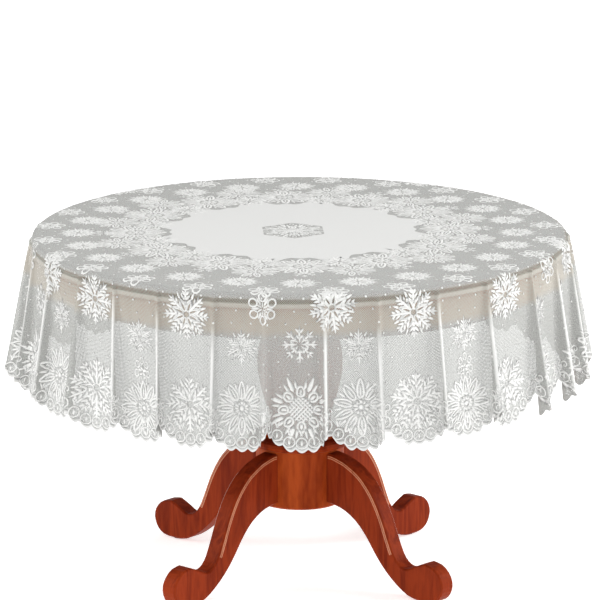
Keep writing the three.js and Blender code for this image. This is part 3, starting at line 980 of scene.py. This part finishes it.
class LACE_OT_snowflakes(bpy.types.Operator):
    """Scatters the snowflakes over the net, from the wreath to the middle of the drop"""

    bl_idname = "lace.snowflakes"
    bl_label = "Snowflakes"

    def execute(self, context):
        small = lobed_flake(0.034)
        arrow = arrow_flake(0.040)
        sprigged = feathered_flake(0.039, 6, 2)
        large = feathered_flake(0.055, 8, 3)
        broad = feathered_flake(0.045, 8, 2)
        bm = bmesh.new()
        for i in range(FOLD_TOTAL):
            angle = REPEAT_TURN + i * LACE_REPEAT
            kind = i % 6
            if kind in (2, 4):
                place_pattern(bm, large, 0.612, angle)
            elif kind == 0:
                place_pattern(bm, arrow, 0.664, angle)
                place_pattern(bm, small, 0.590, angle - 0.13)
                place_pattern(bm, large, 0.590, angle + 0.12, 0.2)
            else:
                place_pattern(bm, sprigged, 0.672, angle)
        for i in range(2 * WREATH_FLOWERS):
            angle = REPEAT_TURN + i * math.pi / WREATH_FLOWERS
            place_pattern(bm, broad, 0.468, angle, 0.2)
            place_pattern(bm, small, 0.535, angle + math.pi / (2 * WREATH_FLOWERS), 0.3)
        lay_thread(bm, "lace_snowflakes", HANG_LIFT, HANG_EDGE, HANG_THICKNESS)

        dot = bmesh.new()
        bmesh.ops.create_circle(dot, cap_ends=True, segments=6, radius=0.0022)
        dot = mesh_of(dot, "dot")
        bm = bmesh.new()
        for row in range(13):
            distance = 0.44 + 0.026 * row
            count = 6 * int(distance * 26)
            for j in range(count):
                place_pattern(bm, dot, distance, (j + 0.5 * (row % 2)) * 2 * math.pi / count)
        lay_thread(bm, "lace_dots", HANG_LIFT, 0.02, HANG_THICKNESS)
        return {"FINISHED"}


class LACE_OT_hem_flowers(bpy.types.Operator):
    """Works the large flowers in the lobes of the hem"""

    bl_idname = "lace.hem_flowers"
    bl_label = "Hem flowers"

    def execute(self, context):
        flowers = [
            lattice_rose(0.062),
            looped_star(0.062, 10),
            feathered_flake(0.066, 10, 3),
            posy(0.034),
            feathered_flake(0.062, 8, 3),
            looped_star(0.058, 12),
        ]
        loop = hem_loop(0.025)
        bud = lobed_flake(0.024, 5)
        bm = bmesh.new()
        for i in range(FOLD_TOTAL):
            angle = REPEAT_TURN + i * LACE_REPEAT
            kind = i % len(flowers)
            if kind == 3:
                place_pattern(bm, flowers[3], 0.742, angle)
                place_pattern(bm, flowers[5], 0.818, angle)
            else:
                place_pattern(bm, flowers[kind], 0.798, angle)
            for k in range(SCALLOPS):
                scallop = angle + (k - SCALLOPS // 2) * LACE_REPEAT / SCALLOPS
                place_pattern(bm, loop, hem_radius(context.scene.lace_cloth, scallop) - 0.033, scallop)
            place_pattern(bm, bud, 0.808, angle + LACE_REPEAT / 2)
        lay_thread(bm, "lace_hem_flowers", HANG_LIFT, HANG_EDGE, HANG_THICKNESS, "lace_hem_thread_painted_light")
        return {"FINISHED"}


class LACE_OT_edging(bpy.types.Operator):
    """Works the scalloped edging and its cord"""

    bl_idname = "lace.edging"
    bl_label = "Edging"

    def execute(self, context):
        cloth = context.scene.lace_cloth
        for name, inset, width, thickness in (("lace_edging", 0.0, 0.0080, 0.0007),
                                              ("lace_inner_line", 0.0112, 0.0018, 0.0005)):
            bm = bmesh.new()
            bmesh.ops.create_grid(bm, x_segments=FOLD_TOTAL * 70, y_segments=1, size=1.0)
            for vert in bm.verts:
                angle = math.pi * vert.co.x
                radius = hem_radius(cloth, angle) - inset + EDGING_OVERHANG - width * (0.5 - 0.5 * vert.co.y)
                vert.co = (radius * math.sin(angle), -radius * math.cos(angle), 0)
            bmesh.ops.remove_doubles(bm, verts=bm.verts[:], dist=JOIN)
            lay_thread(bm, name, 0.0002, thickness=thickness, thread="lace_cord")
        return {"FINISHED"}


class LACE_OT_table(bpy.types.Operator):
    """Finishes the table's wood, metal and glides"""

    bl_idname = "lace.table"
    bl_label = "Table finishes"

    def execute(self, context):
        for name, finish in CHERRY_FINISHES.items():
            cherry_material(name, context.scene.lace_table, **finish)
        secondary_wood_material()
        zinc_material()
        glide_material()
        for name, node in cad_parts.items():
            used = next((material for material, starts in NODE_FINISHES if name.startswith(starts)),
                        "cherry_upright")
            node.data.materials.clear()
            node.data.materials.append(bpy.data.materials[used])
        return {"FINISHED"}


def rounded_line(knots, cuts):
    """Points of a smooth line that runs through all but the end knots, cut evenly between knots."""
    knots = np.array(knots)
    line = []
    for i in range(1, len(knots) - 2):
        a, b, c, d = knots[i - 1:i + 3]
        for t in np.linspace(0, 1, cuts, endpoint=False):
            line.append(0.5 * (2 * b + (c - a) * t + (2 * a - 5 * b + 4 * c - d) * t * t
                               + (3 * b - a - 3 * c + d) * t ** 3))
    return np.array(line)


class LACE_OT_leg_beads(bpy.types.Operator):
    """Runs two fine polished beads along the upper edge of each side of the legs"""

    bl_idname = "lace.leg_beads"
    bl_label = "Leg beads"

    def execute(self, context):
        line = rounded_line(LEG_TOP_LINE, 6)
        along = np.gradient(line, axis=0)
        along /= np.linalg.norm(along, axis=1, keepdims=True)
        inward = np.stack([along[:, 1], -along[:, 0]], axis=1)
        bm = bmesh.new()
        for leg in range(4):
            angle = math.pi / 4 + leg * math.pi / 2
            out = np.array([math.cos(angle), math.sin(angle), 0.0])
            across = np.array([-math.sin(angle), math.cos(angle), 0.0])
            for side in (-1, 1):
                for inset in BEAD_INSETS:
                    self.bead(bm, line, inward, out, across * side, inset)
        # Painted highlight: the bead cherry is far lighter than the legs' cherry, standing in for the light
        # the beads catch.
        bead = cherry_material("cherry_bead_painted_highlight", context.scene.lace_table, 2, light=(0.62, 0.25, 0.13),
                               dark=(0.46, 0.15, 0.07), roughness=0.3, coat=0.4, gloss=0.3)
        finished(bm, "leg_beading", bead, "table")
        return {"FINISHED"}

    @staticmethod
    def bead(bm, line, inward, out, face_out, inset):
        """One half-round bead on the side face of a leg that looks along face_out."""
        made = bmesh.ops.create_grid(bm, x_segments=len(line) - 1, y_segments=4, size=1.0)
        for vert in made["verts"]:
            i = int(round((vert.co.x + 1) / 2 * (len(line) - 1)))
            turn = (vert.co.y + 1) / 2 * math.pi
            radial, height = line[i] + inward[i] * (inset + BEAD_HALF_WIDTH * math.cos(turn))
            place = out * radial + face_out * (LEG_HALF_WIDTH + BEAD_HEIGHT * math.sin(turn))
            vert.co = (place[0], place[1], height)
        faces = list({f for v in made["verts"] for f in v.link_faces})
        bm.normal_update()
        if sum(f.normal.dot(Vector(face_out)) for f in faces) < 0:
            bmesh.ops.reverse_faces(bm, faces=faces)


class LACE_OT_stage(bpy.types.Operator):
    """Sets the floor, the lights, the world and the camera"""

    bl_idname = "lace.stage"
    bl_label = "Stage"

    def execute(self, context):
        scene = context.scene
        settings = scene.lace_stage
        bm = bmesh.new()
        bmesh.ops.create_grid(bm, x_segments=4, y_segments=4, size=settings.floor_size / 2)
        mesh = mesh_of(bm, "studio_floor")
        mesh.materials.append(floor_material())
        floor = bpy.data.objects.new("studio_floor", mesh)
        scene.collection.objects.link(floor)

        scene.view_settings.view_transform = "Standard"
        scene.world = bpy.data.worlds.new("studio")
        scene.world.use_nodes = True
        tree = scene.world.node_tree
        background = tree.nodes["Background"]
        background.inputs["Color"].default_value = (1.0, 1.0, 1.0, 1.0)
        # The camera sees a white backdrop, which lights the object with less than its full white.
        path = add_node(tree, "ShaderNodeLightPath")
        seen = math_node(tree, "MULTIPLY", path.outputs["Is Camera Ray"], BACKDROP_SEEN - BACKDROP_LIGHT)
        strength = math_node(tree, "ADD", seen, BACKDROP_LIGHT)
        tree.links.new(strength, background.inputs["Strength"])

        for name, place, energy, size in SOFTBOXES:
            light = bpy.data.lights.new(name, "AREA")
            light.energy = energy
            light.size = size
            lamp = bpy.data.objects.new(name, light)
            lamp.location = place
            lamp.rotation_euler = (LIGHTS_AIM - Vector(place)).to_track_quat("-Z", "Y").to_euler()
            scene.collection.objects.link(lamp)

        data = bpy.data.cameras.new("studio_camera")
        data.lens = settings.lens
        data.sensor_width = 36.0
        data.clip_end = 200.0
        camera = bpy.data.objects.new("studio_camera", data)
        back = Vector((math.sin(settings.azimuth) * math.cos(settings.elevation),
                       -math.cos(settings.azimuth) * math.cos(settings.elevation),
                       math.sin(settings.elevation)))
        camera.location = CAMERA_AIM + back * settings.distance
        camera.rotation_euler = (-back).to_track_quat("-Z", "Y").to_euler()
        scene.collection.objects.link(camera)
        scene.camera = camera
        return {"FINISHED"}


class LACE_PT_panel(bpy.types.Panel):
    """Lists the steps in the order they are run"""

    bl_label = "Lace table"
    bl_idname = "LACE_PT_panel"
    bl_space_type = "VIEW_3D"
    bl_region_type = "UI"
    bl_category = "Lace table"

    def draw(self, context):
        layout = self.layout
        for step in STEPS:
            layout.operator(step.bl_idname)
        for group in ("lace_cloth", "lace_table", "lace_stage"):
            settings = getattr(context.scene, group)
            box = layout.box()
            for key in settings.__annotations__:
                box.prop(settings, key)


STEPS = (LACE_OT_cloth, LACE_OT_middle, LACE_OT_wreath, LACE_OT_snowflakes,
         LACE_OT_hem_flowers, LACE_OT_edging, LACE_OT_leg_beads, LACE_OT_table, LACE_OT_stage)
GROUPS = (ClothSizes, TableSizes, StageSizes)


def register():
    for item in (*GROUPS, *STEPS, LACE_PT_panel):
        bpy.utils.register_class(item)
    bpy.types.Scene.lace_cloth = PointerProperty(type=ClothSizes)
    bpy.types.Scene.lace_table = PointerProperty(type=TableSizes)
    bpy.types.Scene.lace_stage = PointerProperty(type=StageSizes)


def unregister():
    del bpy.types.Scene.lace_cloth, bpy.types.Scene.lace_table, bpy.types.Scene.lace_stage
    for item in reversed((*GROUPS, *STEPS, LACE_PT_panel)):
        bpy.utils.unregister_class(item)


def main():
    register()
    for step in STEPS:
        group, name = step.bl_idname.split(".")
        getattr(getattr(bpy.ops, group), name)()


if __name__ == "__main__":
    main()
